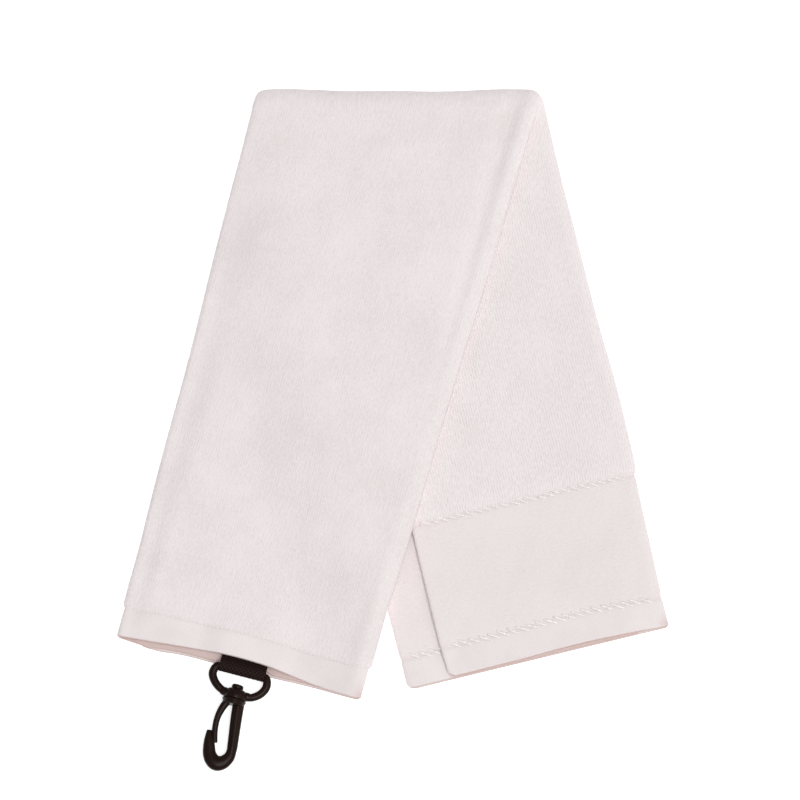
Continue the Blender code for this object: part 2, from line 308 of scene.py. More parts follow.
# painted highlight on the webbing's raised yarns and painted shade on its sunk ones
WEB_PAINTED_HIGHLIGHT = (0.034, 0.017, 0.014, 1)
WEB_PAINTED_SHADE = (0.005, 0.002, 0.002, 1)
PLASTIC_LIGHT = (0.0165, 0.0068, 0.0042, 1)
PLASTIC_DARK = (0.0085, 0.0032, 0.0020, 1)

# metres along the towel between which the velour gives way to loops
LOOPS_BEGIN = (0.318, 0.345)
WARP_SPACING = 0.0014
RIB_SPACING = 0.0012


def pile_material():
    """Velour on the front half, loops in rows on the back half."""
    n = Nodes("cotton_pile")
    cloth = n.attribute("weave").outputs["Vector"]
    split = n.node("ShaderNodeSeparateXYZ")
    n.link(cloth, split.inputs[0])
    loops_here = n.between(split.outputs["Y"], *LOOPS_BEGIN)
    drift = n.math("MULTIPLY", n.noise(n.scaled(cloth, (160.0, 80.0, 1.0)), 1.0), 5.0)
    lines = n.math("MULTIPLY_ADD", split.outputs["X"], 2 * math.pi / WARP_SPACING, drift)
    lines = n.math("MULTIPLY_ADD", n.math("SINE", lines), 0.5, 0.5)
    fuzz = n.noise(n.scaled(cloth, (1.0, 0.6, 1.0)), 900.0, 3.0, 0.65)
    warp = n.noise(n.scaled(cloth, (800.0, 150.0, 1.0)), 1.0)
    loops = n.noise(n.scaled(cloth, (1250.0, 360.0, 1.0)), 1.0, 2.0, 0.6)
    tufts = n.between(loops, 0.25, 0.72)
    patches = n.noise(cloth, 28.0, 3.0, 0.55)
    velour = n.math("MULTIPLY_ADD", lines, 0.10, n.weighted(fuzz, 0.62, warp, 0.3))
    terry = n.math("MULTIPLY_ADD", lines, 0.24, n.weighted(fuzz, 0.40, tufts, 0.28))
    either = n.node("ShaderNodeMix", data_type="FLOAT")
    n.link(loops_here, either.inputs["Factor"])
    n.link(velour, either.inputs[2])
    n.link(terry, either.inputs[3])
    height = either.outputs[0]
    tone = n.weighted(patches, 0.3, height, 0.7)
    velour_colour = n.mix(n.between(tone, 0.36, 0.60), SHADE, WHITE)
    terry_colour = n.mix(n.between(tone, 0.28, 0.60), LOOP_SHADE, LOOP_WHITE)
    colour = n.mix(loops_here, velour_colour, terry_colour)
    return n.finish_cloth(colour, 0.92, n.bump(height, 0.00050, 0.9), 0.06, 0.1)


def woven_material():
    """The smooth border band between the cord lines."""
    n = Nodes("woven_border")
    cloth = n.attribute("weave").outputs["Vector"]
    fuzz = n.noise(cloth, 800.0, 3.0, 0.65)
    yarn = n.noise(n.scaled(cloth, (450.0, 800.0, 1.0)), 1.0, 1.0)
    height = n.weighted(fuzz, 0.6, yarn, 0.4)
    patches = n.noise(cloth, 30.0, 3.0)
    tone = n.weighted(patches, 0.3, height, 0.7)
    colour = n.mix(n.between(tone, 0.32, 0.6), WOVEN_SHADE, WOVEN_WHITE)
    return n.finish_cloth(colour, 0.82, n.bump(height, 0.00032, 0.9), 0.04, 0.15)


def hem_material():
    """Flat weave with ribs that run along the towel."""
    n = Nodes("ribbed_hem")
    cloth = n.attribute("weave").outputs["Vector"]
    split = n.node("ShaderNodeSeparateXYZ")
    n.link(cloth, split.inputs[0])
    wobble = n.math("MULTIPLY", n.noise(cloth, 180.0, 1.0), 0.0014)
    across = n.math("ADD", split.outputs["X"], wobble)
    rib = n.math("SINE", n.math("MULTIPLY", across, 2 * math.pi / RIB_SPACING))
    rib = n.math("MULTIPLY_ADD", rib, 0.5, 0.5)
    yarn = n.noise(n.scaled(cloth, (500.0, 1300.0, 1.0)), 1.0, 2.0, 0.6)
    height = n.weighted(rib, 0.28, yarn, 0.72)
    tone = n.weighted(n.noise(cloth, 40.0), 0.6, height, 0.35)
    colour = n.mix(n.between(tone, 0.25, 0.6), WOVEN_SHADE, HEM_WHITE)
    return n.finish_cloth(colour, 0.85, n.bump(height, 0.00026, 0.8), 0.04, 0.15)


def thread_material(name, roughness, twist, shade, white):
    """White thread, with fibres twisted along its length."""
    n = Nodes(name)
    place = n.node("ShaderNodeTexCoord").outputs["Object"]
    fibres = n.noise(n.scaled(place, (twist, twist * 0.6, twist)), 1.0, 2.0, 0.6)
    normal = n.bump(fibres, 0.00015, 0.8)
    colour = n.mix(n.between(fibres, 0.3, 0.7), shade, white)
    return n.finish(colour, roughness, normal, Sheen_Weight=0.1, Specular_IOR_Level=0.35)


def webbing_material():
    """Black webbing: painted highlight on the raised yarns and painted shade on the sunk ones,
    which the mesh marks.
    """
    n = Nodes("black_webbing")
    raised = n.attribute("yarn").outputs["Fac"]
    place = n.node("ShaderNodeTexCoord").outputs["Object"]
    fibres = n.noise(place, 2600.0, 3.0, 0.6)
    normal = n.bump(fibres, 0.00012, 0.9)
    tone = n.weighted(raised, 0.75, fibres, 0.35)
    colour = n.mix(n.between(tone, 0.25, 0.95), WEB_PAINTED_SHADE, WEB_PAINTED_HIGHLIGHT)
    return n.finish(colour, 0.75, normal, Specular_IOR_Level=0.12)


def plastic_material():
    """Black moulded plastic with a faint grain."""
    n = Nodes("black_plastic")
    place = n.node("ShaderNodeTexCoord").outputs["Object"]
    grain = n.noise(place, 1400.0, 3.0, 0.6)
    patches = n.noise(place, 120.0)
    colour = n.mix(patches, PLASTIC_DARK, PLASTIC_LIGHT)
    roughness = n.math("MULTIPLY_ADD", patches, 0.12, 0.23)
    return n.finish(colour, roughness, n.bump(grain, 0.00006, 0.6), Specular_IOR_Level=0.11)


# ---- folded sheet

# the stretches of the path across the towel, and the sheet's materials
IN_FLAP, LEFT, PANEL, RIGHT, OUT_FLAP = range(5)
PILE_LOOK, BORDER_LOOK, HEM_LOOK = range(3)


def edge_points(leg, side, distance):
    """Points on a leg's left (0) or right (1) edge, by distance from its end."""
    end, fold = leg["end"][side], leg["fold"][side]
    length = np.linalg.norm(fold - end)
    stretch = (length - SQUARE) / (LEG_LENGTH - SQUARE)
    reach = np.where(distance > SQUARE, SQUARE + (distance - SQUARE) * stretch, distance)
    return end + (fold - end) * (reach / length)[..., None]


def columns():
    """The path across the towel, as (stretch, share of that stretch)."""
    counts = {IN_FLAP: 62, LEFT: 10, PANEL: 70, RIGHT: 18, OUT_FLAP: 62}
    path = [(IN_FLAP, 0.0)]
    for stretch, count in counts.items():
        share = np.arange(1, count + 1) / count
        if stretch == OUT_FLAP:
            # closer columns towards the rolled edge
            share = 1 - (1 - share) ** 1.15
        path += [(stretch, s) for s in share]
    return np.array(path)


PATH = columns()
MASKS = [PATH[:, 0] == k for k in (IN_FLAP, LEFT, PANEL, RIGHT, OUT_FLAP)]
LEVEL = np.select(MASKS, [1.0, 1 - PATH[:, 1], 0.0, 2 * PATH[:, 1], 2.0])


def section(width, panel_side=1.0, flap_side=1.0):
    """Across and level of every column for panels of the given widths. The rolled right
    edge is fuller where its power, for the panel's or the flap's side, is below 1."""
    share = PATH[:, 1]
    width = np.asarray(width, float)[..., None]
    angle = math.pi * share
    roll = width - ROLL_WIDTH
    power = np.where(share < 0.5, panel_side, flap_side)
    across = np.select(MASKS, [
        UNDER_FLAP + (LEFT_TURN - UNDER_FLAP) * share,
        LEFT_TURN - LEFT_TURN * np.sin(angle) + 0 * width,
        LEFT_TURN + (roll - LEFT_TURN) * share,
        roll + ROLL_WIDTH * np.abs(np.sin(angle)) ** power,
        roll + (ROLL_WIDTH - TOP_FLAP) * share,
    ])
    level = np.select(MASKS, [
        np.ones_like(share),
        0.5 + 0.5 * np.cos(angle),
        np.zeros_like(share),
        1 - np.cos(angle),
        np.full_like(share, 2),
    ])
    return across, np.broadcast_to(level, across.shape)


def ripple(x, y, size, seed):
    """A smooth irregular wave over the plan, about -1 to 1, with swells about size across."""
    waves = 9
    rng = np.random.default_rng(seed)
    total = 0.0
    for _ in range(waves):
        heading = rng.uniform(0, 2 * math.pi)
        length = size * rng.uniform(0.8, 2.2)
        phase = rng.uniform(0, 2 * math.pi)
        along = x * math.cos(heading) + y * math.sin(heading)
        total = total + np.sin(2 * math.pi * along / length + phase)
    return total / math.sqrt(waves)


def outside_back_leg(x, y):
    """Distance in plan to the left of the back leg's left edge."""
    top, bottom = BACK["fold"][0], BACK["end"][0]
    run = unit(bottom - top)
    return (x - top[0]) * run[1] - (y - top[1]) * run[0]


def bar_offset(x, y):
    """(t, l) of plan points: out from the ring's bar, and across it."""
    dx, dy = x - BAR[0], y - BAR[1]
    return dx * OUTWARD[0] + dy * OUTWARD[1], dx * SIDEWAYS[0] + dy * SIDEWAYS[1]


def valley(across, width, level):
    """The upper panel sags past the under flap's free edge, before the rolled side."""
    room = smooth((width - UNDER_FLAP - 9) / 14)
    dip = smooth((across - UNDER_FLAP - 2) / 8) * (1 - smooth((across - width + 11) / 7))
    return room * dip * np.clip(1 - level, 0, 1)


def layers(level, distance, across, over, squeeze, sink):
    """Height of each layer over what the leg lies on. The layers lie closer by squeeze at
    the woven end, which gives way over the given distances, and by the share sink towards
    the rolled edge, where the under flap no longer lies between the others."""
    flat = 1 - smooth((distance - over[0]) / (over[1] - over[0]))
    pitch = PITCH - squeeze * flat
    first = FIRST - 0.25 * flat
    settled = 1 - sink * smooth((across - UNDER_FLAP - 1) / 9) * away_from_fold(distance)
    return first + pitch * level * settled


def away_from_fold(distance):
    """0 near the half fold, rising to 1 along the leg."""
    return smooth((LEG_LENGTH - 8 - distance) / 80)


def calm_by_fold(distance):
    """1 along the leg, and 0 at the half fold, where both legs have to meet the bend."""
    return 1 - smooth((distance - LEG_LENGTH + FOLD_CALM) / FOLD_CALM)


def right_side(share):
    return smooth((share - 0.55) / 0.45)


def pile_bulge(share, distance, hem):
    """The thick pile stands a little past the flat-woven end at both sides."""
    reach = 0.8 * smooth((distance - hem) / 1.5) * (1 - smooth((distance - hem - 5) / 34))
    return reach * (smooth((share - 0.93) / 0.07) - smooth((0.07 - share) / 0.07))


def leg_plan(leg, distance, panel_side, flap_side):
    """Across, level, plan place and backward direction of every point of a leg's rows, and
    the rows' widths. The powers of the rolled edge are 1 at the half fold and change by
    panel_side and flap_side away from it."""
    left, right = edge_points(leg, 0, distance), edge_points(leg, 1, distance)
    width = np.linalg.norm(right - left, axis=-1, keepdims=True)
    loose = away_from_fold(distance)[:, None]
    across, level = section(width[:, 0], 1 + panel_side * loose, 1 + flap_side * loose)
    run = (right - left) / width
    back = np.stack([-run[..., 1], run[..., 0]], -1)[:, None, :]
    place = left[:, None, :] + run[:, None, :] * across[..., None]
    return across, level, place, back, width


def rounded(inside, far, radius):
    """Steps inward and back that turn a square corner of the cloth into a round one."""
    on_cloth = inside > -0.5
    a = np.clip(radius - inside, 0, radius) * on_cloth
    b = np.clip(radius - far, 0, radius) * on_cloth
    inward = a - a * np.sqrt(1 - 0.5 * (b / radius) ** 2)
    backward = b - b * np.sqrt(1 - 0.5 * (a / radius) ** 2)
    return inward, backward


def front_leg(distance):
    """The front leg's rows: it lies on the back leg and steps down to the floor."""
    across, level, place, back, wide = leg_plan(
        FRONT, distance, panel_side=0.3, flap_side=-0.75
    )
    far = distance[:, None]
    share = np.clip(across / wide, 0, 1)
    near_end = smooth(1 - far / 90)
    top = np.clip(1 - level, 0, 1)
    under = np.clip(1 - abs(level - 1), 0, 1)
    lowest = np.clip(level - 1, 0, 1)

    # the middle panel's end is drawn back, and the two flaps show below it at the left
    _, sideways = bar_offset(place[..., 0], place[..., 1])
    by_ring = 1 - smooth((abs(sideways) - 11) / 6)
    flat = bump_at(share, 0.8, 0.13)
    bow = 4.9 * np.sin(math.pi * share) ** 1.5 + 0.4 * (1 - share) - 0.7 * flat
    bow = bow * np.exp(-far / 18)
    out = 1.6 * bump_at(share, 0.13, 0.09) + 0.6 * (1 - smooth((share - 0.1) / 0.2))
    tucked = (1 - 0.45 * smooth((share - 0.12) / 0.1)) * (1 - by_ring)
    slip = 1 - smooth((share - 0.11) / 0.09)
    lower = under * (0.8 + 2.0 * by_ring - out * tucked) - lowest * (out + 0.2 - slip)
    lower = lower + 0.7 * flat * (1 - top)
    shift = top * bow + lower * near_end + 1.4 * share * near_end
    place = place + back * shift[..., None]
    to_side = np.where(share < 0.5, 1, -1) * abs(2 * share - 1) ** 6
    edge_wave = 0.35 * np.sin(far / 23 + 0.6) * to_side
    x = place[..., 0] + edge_wave + pile_bulge(share, far, HOOK_HEM)
    y = place[..., 1]

    height = layers(2 - level, far, across, over=(12, 45), squeeze=0.75, sink=0.24)
    lift = FRONT_LIFT + (FLOOR_GAP - FRONT_LIFT) * smooth(outside_back_leg(x, y) / DRAPE)
    outward, sideways = bar_offset(x, y)
    over_web = 1 - smooth((abs(sideways) - 13.5) / 15)
    over_web = over_web * (1 - smooth((-17 - outward) / 22))
    rise = over_web * (2.5 * top - 0.6 * under)
    left_of_flap = 1 - smooth((across - 5) / (wide - TOP_FLAP - 7))
    droop = -2.3 * left_of_flap * (1 - lowest) * away_from_fold(far)
    droop = droop * (1 - 0.75 * top * smooth(1 - far / 40))
    corner = 1.1 * bump_at(share, 0.16, 0.15) * smooth(1 - far / 46) * top
    sag = -0.5 * valley(across, wide, level) * (1 + 1.88 * smooth((far - 220) / 90))
    sag = sag + 0.6 * bump_at(across, wide - 6.5, 3.0) * top * smooth(far / 40)
    body = (0.3 + 0.5 * top) * smooth(far / 30) * ripple(x, y, 46, 5)
    body = body + 0.22 * top * ripple(x, y, 15, 8) * smooth(far / 20)
    swell = calm_by_fold(far) * 0.45 * (body + 0.8) * (0.35 + 0.65 * top)
    return np.stack([x, y, lift + height + rise + droop + corner + sag + swell], -1)


def back_leg(distance):
    """The back leg's rows: it lies flat on the floor, its outer flap on top."""
    across, level, place, back, wide = leg_plan(
        BACK, distance, panel_side=-0.45, flap_side=0.3
    )
    far = distance[:, None]
    share = np.clip(across / wide, 0, 1)
    near_end = smooth(1 - far / 70)
    top = np.clip(level - 1, 0, 1)
    from_free = across - wide + TOP_FLAP

    # the top flap's end is a little shorter than the two layers under it
    short = 0.9 + 1.0 * bump_at(share, 0.66, 0.2)
    short = short * top * (1 - smooth((share - 0.85) / 0.15))
    under = np.clip(1 - abs(level - 1), 0, 1) * 0.4
    place = place + back * ((short + under) * near_end)[..., None]
    inside = np.where(level > 1.5, from_free, across)
    inward, backward = rounded(inside, far, CORNER_RADIUS)
    run = np.stack([back[..., 1], -back[..., 0]], -1)
    place = place + back * backward[..., None] + run * inward[..., None]
    full = 1.6 * smooth(far / 60) + 2.2 * bump_at(far, 142, 48)
    full = full * smooth((LEG_LENGTH - far) / 40) + CORNER * bump_at(far, LEG_LENGTH, 26)
    edge_wave = 0.3 * np.sin(far / 19 + 2) * abs(2 * share - 1) ** 6
    x = place[..., 0] + pile_bulge(share, far, UPPER_CORD[1])
    x = x + full * right_side(share) + edge_wave
    y = place[..., 1]

    height = layers(level, far, across, over=(86, 96), squeeze=0.45, sink=0.05)
    lifted = 0.45 * top * bump_at(share, 0.66, 0.22) * smooth(1 - far / 26)
    free = 0.4 * top * (1 - smooth(from_free / 12))
    body = top * (0.75 * ripple(x, y, 42, 21) + 0.35 * ripple(x, y, 16, 23) + 0.9)
    x = x - 0.85 * top * (1 - smooth(from_free / 30)) * smooth((far - 4) / 14)
    return np.stack([x, y, height + lifted + free + calm_by_fold(far) * 0.4 * body], -1)


def bend(turn):
    """Rows round the half fold, turn from 1 at the front leg to 0 at the back leg."""
    back_left, back_right = BACK["fold"][:, 0]
    front_left, front_right = FRONT["fold"][:, 0]
    wide = back_right - back_left
    across, level = section(np.full(len(turn), wide))
    share = across / wide
    turn = turn[:, None]
    start = back_left + (back_right - back_left) * share
    end = front_left + (front_right - front_left) * share
    x = start + (end - start) * turn + CORNER * right_side(share) * (1 - smooth(turn))
    radius = FOLD_HEIGHT - (FIRST + PITCH * level)
    angle = math.pi * turn
    nearest = np.minimum(across, wide - across)
    corner = (1 - np.clip((nearest + 0.5) / 6, 0, 1)) ** 2
    round_off = 2.4 * (1 - np.sqrt(1 - corner))
    wave = 2.9 + 0.55 * np.sin(across / 21 + 0.9) + 0.3 * np.sin(across / 9.5)
    y = FOLD_Y + np.sin(angle) * (radius + (wave - round_off) * smooth(radius / 6))
    sag = -1.44 * valley(across, wide, level) * smooth((turn - 0.4) / 0.6)
    return np.stack([x, y, FOLD_HEIGHT - radius * np.cos(angle) + sag], -1)


def spaced(stops, step):
    """Distances through stops, each gap cut into steps of about the given sizes."""
    found = [stops[0]]
    for low, high, size in zip(stops, stops[1:], step):
        count = max(1, round((high - low) / size))
        found += [low + (high - low) * (i + 1) / count for i in range(count)]
    return np.array(found)


def cloth_rows():
    """Mid-surface points of the whole sheet by row, the rows' distance along the cloth,
    and how far each row has turned round the half fold."""
    fine, middling, coarse = 0.5, 1.3, 2.1
    stops = (0, 2, HOOK_HEM - 2, HOOK_HEM + 2, LEG_LENGTH)
    front = spaced(stops, (fine, middling, fine, coarse))
    bend_rows = 28
    over = 1 - np.arange(1, bend_rows) / bend_rows
    low, high = LOWER_CORD, UPPER_CORD
    stops = (0, 2, low[0] - 1, low[1] + 1, high[0] - 1, high[1] + 1, LEG_LENGTH)
    back = spaced(stops, (fine, middling, fine, 1.9, fine, coarse))[::-1]
    points = np.concatenate([front_leg(front), bend(over), back_leg(back)])
    bend_length = CLOTH_LENGTH - 2 * LEG_LENGTH
    along = [front, LEG_LENGTH + bend_length * (1 - over), CLOTH_LENGTH - back]
    turned = [np.ones(len(front)), over, np.zeros(len(back))]
    return points, np.concatenate(along), np.concatenate(turned)


def thickness(along, across_cloth):
    """Cloth thickness by distance along the towel, with hems and cord lines."""
    from_end = CLOTH_LENGTH - along
    pile = smooth((along - HOOK_HEM + 0.6) / 1.2) * smooth((from_end - UPPER_CORD[1] + 0.3) / 1.2)
    thick = WOVEN + (PILE - WOVEN) * pile - 0.45 * bump_at(along, HOOK_GROOVE, 0.7)
    for low, high in (LOWER_CORD, UPPER_CORD):
        thick = thick - 0.95 * bump_at(from_end, (low + high) / 2, (high - low) * 0.5)
    edge = np.minimum(across_cloth, CLOTH_WIDTH - across_cloth)
    side = 0.35 * (1 - smooth((edge - SIDE_HEM + 0.3) / 0.8)) - 0.3 * bump_at(edge, SIDE_HEM, 0.6)
    return thick[:, None] + side


def weave_of_row(along):
    """The place, in the sheet's list of materials, of the one for a row of quads."""
    from_end = CLOTH_LENGTH - along
    if along < HOOK_GROOVE or from_end < sum(LOWER_CORD) / 2:
        return HEM_LOOK
    return BORDER_LOOK if from_end < sum(UPPER_CORD) / 2 else PILE_LOOK


def painted_shade_amounts(along):
    """How much painted shade each point of the grid gets: in the grooves, and on the lower layers'
    ends, which only get light that the pink-white cloth throws back."""
    from_end = CLOTH_LENGTH - along
    # painted shade along the hem groove and in the two cord lines
    line = 0.07 * bump_at(along, HOOK_GROOVE, 0.9)
    for low, high in (LOWER_CORD, UPPER_CORD):
        line = line + 0.13 * bump_at(from_end, (low + high) / 2, (high - low) * 0.5)
    # painted shade on the lower layers near both ends of the cloth
    near_end = np.exp(-np.minimum(along, from_end) / 3.5)[:, None]
    front = (along < CLOTH_LENGTH / 2)[:, None]
    wide = np.linalg.norm(BACK["end"][1] - BACK["end"][0])
    covered = smooth((section(wide)[0] - wide + TOP_FLAP + 1) / 4)
    covered = np.where(front, 1.0, covered[None, :])
    depth = abs(LEVEL[None, :] - np.where(front, 0.0, 2.0))
    shade = 0.72 * np.clip(depth, 0, 1) - 0.47 * np.clip(depth - 1, 0, 1)
    return line[:, None] + shade * covered * np.minimum(1, near_end * 1.7)


def edge_loop(rows, cols):
    """The (row, column) places once round the edge of a grid."""
    loop = [(0, c) for c in range(cols)] + [(r, cols - 1) for r in range(1, rows)]
    loop += [(rows - 1, c) for c in range(cols - 2, -1, -1)]
    return loop + [(r, 0) for r in range(rows - 2, 0, -1)]


def facing_quads(rows, cols):
    """Quads over a grid and, facing the other way, over a second grid that follows it."""
    size = rows * cols
    faces = []
    for r in range(rows - 1):
        for c in range(cols - 1):
            a = r * cols + c
            quad = (a, a + 1, a + cols + 1, a + cols)
            faces += [quad, tuple(size + q for q in reversed(quad))]
    return faces


def new_object(name, verts, faces, *looks):
    """An object whose mesh has the given points, in millimetres."""
    mesh = bpy.data.meshes.new(name)
    mesh.from_pydata((np.asarray(verts) * MM).tolist(), [], faces)
    for look in looks:
        mesh.materials.append(look)
    if looks:
        mesh.shade_smooth()
    obj = bpy.data.objects.new(name, mesh)
    bpy.context.scene.collection.objects.link(obj)
    recalc_normals(mesh)
    return obj


def mark_points(obj, name, kind, values):
    """Writes a number or a vector for every point, for the object's material to read."""
    attribute = obj.data.attributes.new(name, kind, "POINT")
    field = "vector" if kind == "FLOAT_VECTOR" else "value"
    attribute.data.foreach_set(field, np.ravel(values).astype(np.float32))


def build_sheet(looks):
    """The towel: two facing skins either side of the mid-surface, and a rounded rim."""
    points, along, turned = cloth_rows()
    points[..., 2] = np.maximum(points[..., 2], PILE / 2 + 0.05)
    rows, cols = points.shape[:2]
    steps = np.linalg.norm(np.diff(points, axis=1), axis=-1)
    across_cloth = np.concatenate([np.zeros((rows, 1)), np.cumsum(steps, axis=1)], axis=1)
    across_cloth *= CLOTH_WIDTH / across_cloth[:, -1:]
    du, dv = (unit(np.gradient(points, axis=axis)) for axis in (1, 0))
    normal = unit(np.cross(du, dv))
    half = thickness(along, across_cloth)[..., None] / 2
    fuzz = np.random.default_rng(3).normal(0, 0.028, (2, rows, cols, 1))
    sides = [points + normal * (half + fuzz[0]), points - normal * (half + fuzz[1])]

    # the rim is rounded: one more loop of points round the edge, pushed outwards
    loop = edge_loop(rows, cols)
    rim = []
    for r, c in loop:
        out = dv[r, c] * ((r == rows - 1) - (r == 0)) + du[r, c] * ((c == cols - 1) - (c == 0))
        rim.append(points[r, c] + unit(out) * half[r, c] * 0.75)
    size = rows * cols
    verts = np.concatenate([sides[0].reshape(-1, 3), sides[1].reshape(-1, 3), np.array(rim)])

    faces = facing_quads(rows, cols)
    kinds = np.repeat([weave_of_row(m) for m in (along[:-1] + along[1:]) / 2], 2 * (cols - 1))
    rim_kinds = []
    for i, (here, ahead) in enumerate(zip(loop, loop[1:] + loop[:1])):
        a, b = (place[0] * cols + place[1] for place in (here, ahead))
        ra, rb = 2 * size + i, 2 * size + (i + 1) % len(loop)
        faces += [(a, ra, rb, b), (ra, size + a, size + b, rb)]
        at_end = here[0] == ahead[0] and here[0] in (0, rows - 1)
        rim_kinds += [HEM_LOOK if at_end else PILE_LOOK] * 2

    sheet = new_object("towel_cloth", verts, faces, *looks)
    sheet.data.polygons.foreach_set("material_index", np.concatenate([kinds, rim_kinds]))
    grid = np.zeros((rows, cols, 3))
    grid[..., 0] = across_cloth * MM
    grid[..., 1] = along[:, None] * MM
    flat = grid.reshape(-1, 3)
    under_skin = flat + np.array([0, 0, 0.01])
    cloth = np.concatenate([flat, under_skin, [grid[place] for place in loop]])
    mark_points(sheet, "weave", "FLOAT_VECTOR", cloth)
    painted_shade = painted_shade_amounts(along).ravel()
    # painted shade on the rim: full at the cloth's two ends, faint along its sides
    rim_painted_shade = [1.0 if r in (0, rows - 1) else 0.1 for r, _ in loop]
    mark_points(sheet, "painted_shade", "FLOAT", np.concatenate([painted_shade, painted_shade, rim_painted_shade]))

    weight = np.repeat(turned, cols)
    weight = np.concatenate([weight, weight, [turned[r] for r, _ in loop]])
    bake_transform(sheet)
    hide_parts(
        "front_half_cloth", "fold_over_bend", "back_half_cloth",
        "border_band", "border_end_hem", "hook_end_hem",
    )
    return sheet


def recalc_normals(mesh):
    work = bmesh.new()
    work.from_mesh(mesh)
    bmesh.ops.recalc_face_normals(work, faces=work.faces)
    work.to_mesh(mesh)
    work.free()


# ---- stitches


def capsule(length, width, depth, rings=8, sides=8):
    """A slim rounded stitch along +X, centred, as vertices and faces."""
    verts, faces = [(-length / 2, 0, 0)], []
    for i in range(1, rings):
        angle = math.pi * i / rings
        x = -math.cos(angle) * length / 2
        wide = math.sin(angle) ** 0.6
        for k in range(sides):
            turn = 2 * math.pi * k / sides
            verts.append((x, math.cos(turn) * wide * width / 2, math.sin(turn) * wide * depth / 2))
    verts.append((length / 2, 0, 0))
    last = len(verts) - 1
    for k in range(sides):
        n = (k + 1) % sides
        faces.append((0, 1 + n, 1 + k))
        for i in range(rings - 2):
            a, b = 1 + i * sides, 1 + (i + 1) * sides
            faces.append((a + k, a + n, b + n, b + k))
        faces.append((last, last - sides + k, last - sides + n))
    return np.array(verts), faces


def stitch_row(name, places, shape, look, body, node):
    """One object of many stitches. places are (point, along, up) frames in millimetres."""
    base, base_faces = shape
    verts, faces = [], []
    for point, along, up in places:
        along = unit(along)
        side = unit(np.cross(up, along))
        up = np.cross(along, side)
        start = len(verts)
        verts += list(point + base[:, :1] * along + base[:, 1:2] * side + base[:, 2:] * up)
        faces += [tuple(start + i for i in f) for f in base_faces]
    obj = new_object(name, verts, faces, look)
    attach(obj, body)
    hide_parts(node)


def surface_frames(leg, distance, stretch, start, margin, spacing, proud, slant=0.0):
    """Frames along one row of a leg's stretch, from start to margin short of its end."""
    points = leg(np.array([distance - 0.5, distance, distance + 0.5]))
    points = points[:, MASKS[stretch]]
    line = points[1]
    run = run_along(line)
    down = unit((points[0].mean(0) - points[2].mean(0)) * (1, 1, 0))
    up = np.array([0.0, 0.0, 1.0])
    frames = []
    for s in np.arange(start, run[-1] - margin, spacing):
        here, ahead = points_at([s, s + 1], run, line)
        ahead = unit((ahead - here) * (1, 1, 0))
        ahead *= np.sign(ahead[0])
        frames.append((here + up * proud, ahead * math.cos(slant) + down * math.sin(slant), up))
    return frames


def cord_lines(look):
    """The two lines of slanted cord woven across the border end. On the outer flap they
    stop at its side hem."""
    proud = WOVEN / 2
    for name, band, pitch, length, width, slant in (
        ("upper_border_cord", UPPER_CORD, 5.0, 7.4, 1.45, math.radians(29)),
        ("lower_border_cord", LOWER_CORD, 5.4, 8.4, 1.7, math.radians(31)),
    ):
        middle = sum(band) / 2
        places = surface_frames(
            back_leg, middle, OUT_FLAP, 1.2, SIDE_HEM + 3.5, pitch, proud, slant
        )
        places += surface_frames(back_leg, middle, IN_FLAP, 96.0, 1.5, pitch, proud, slant)
        rng = np.random.default_rng(11)
        places = [
            (p + along * rng.normal(0, 0.35), along + rng.normal(0, 0.05, 3) * (1, 1, 0.3), up)
            for p, along, up in places
        ]
        shape = capsule(length, width, 1.0)
        stitch_row(name + "_stitches", places, shape, look, "back_leg", name)


def hem_stitches(look):
    """One row of small stitches along the hook end's hem, on the front leg."""
    shape = capsule(1.9, 0.5, 0.42, 6, 6)
    proud = WOVEN / 2 - 0.12
    row = HOOK_HEM - 0.9
    places = surface_frames(front_leg, row, PANEL, 2.0, 1.5, STITCH_PITCH, proud)
    name, node = "hook_hem_stitches", "hook_hem_thread"
    stitch_row(name, places, shape, look, "front_leg", node)


def side_stitches(look):
    """Stitching along the top flap's narrow side hem, on the back leg."""
    shape = capsule(1.9, 0.45, 0.4, 6, 6)
    hidden_from = 150.0
    distances = np.arange(LOWER_CORD[1] + 1, hidden_from, STITCH_PITCH)
    line = back_leg(distances)[:, MASKS[OUT_FLAP]]
    places = []
    for r in range(1, len(distances) - 1):
        inward = line[r, ::-1]
        reach = np.linalg.norm(inward[0] - inward, axis=-1)
        here = points_at(SIDE_HEM, reach, inward)
        here[2] += (PILE if distances[r] > UPPER_CORD[1] else WOVEN) / 2 - 0.1
        places.append((here, line[r + 1, -1] - line[r - 1, -1], np.array([0.0, 0, 1])))
    name, node = "flap_side_stitches", "flap_side_thread"
    stitch_row(name, places, shape, look, "back_leg", node)


# ---- webbing and hook


def put_on_bar(verts):
    """(t, l, z) about the bar's middle, as points in the frame in millimetres."""
    t, l, z = verts[..., 0], verts[..., 1], verts[..., 2]
    plan = BAR[:2] + t[..., None] * OUTWARD + l[..., None] * SIDEWAYS
    return np.concatenate([plan, (z + BAR[2])[..., None]], -1)


def strap_layer(side, bar_gap):
    """(t, z) along one layer of the webbing, from inside the hem to the bar, for the upper
    (1) or the lower (-1) layer. They lie together and open up towards the bar."""
    lie, half_gap = -1.75, 0.56
    t = -16.0 + 15.0 * np.arange(STRAP_STEPS) / (STRAP_STEPS - 1)
    open_up = smooth((t + 6.5) / 6.0)
    z = (lie + side * half_gap) * (1 - open_up) + side * bar_gap * open_up
    return np.stack([t, z], -1)


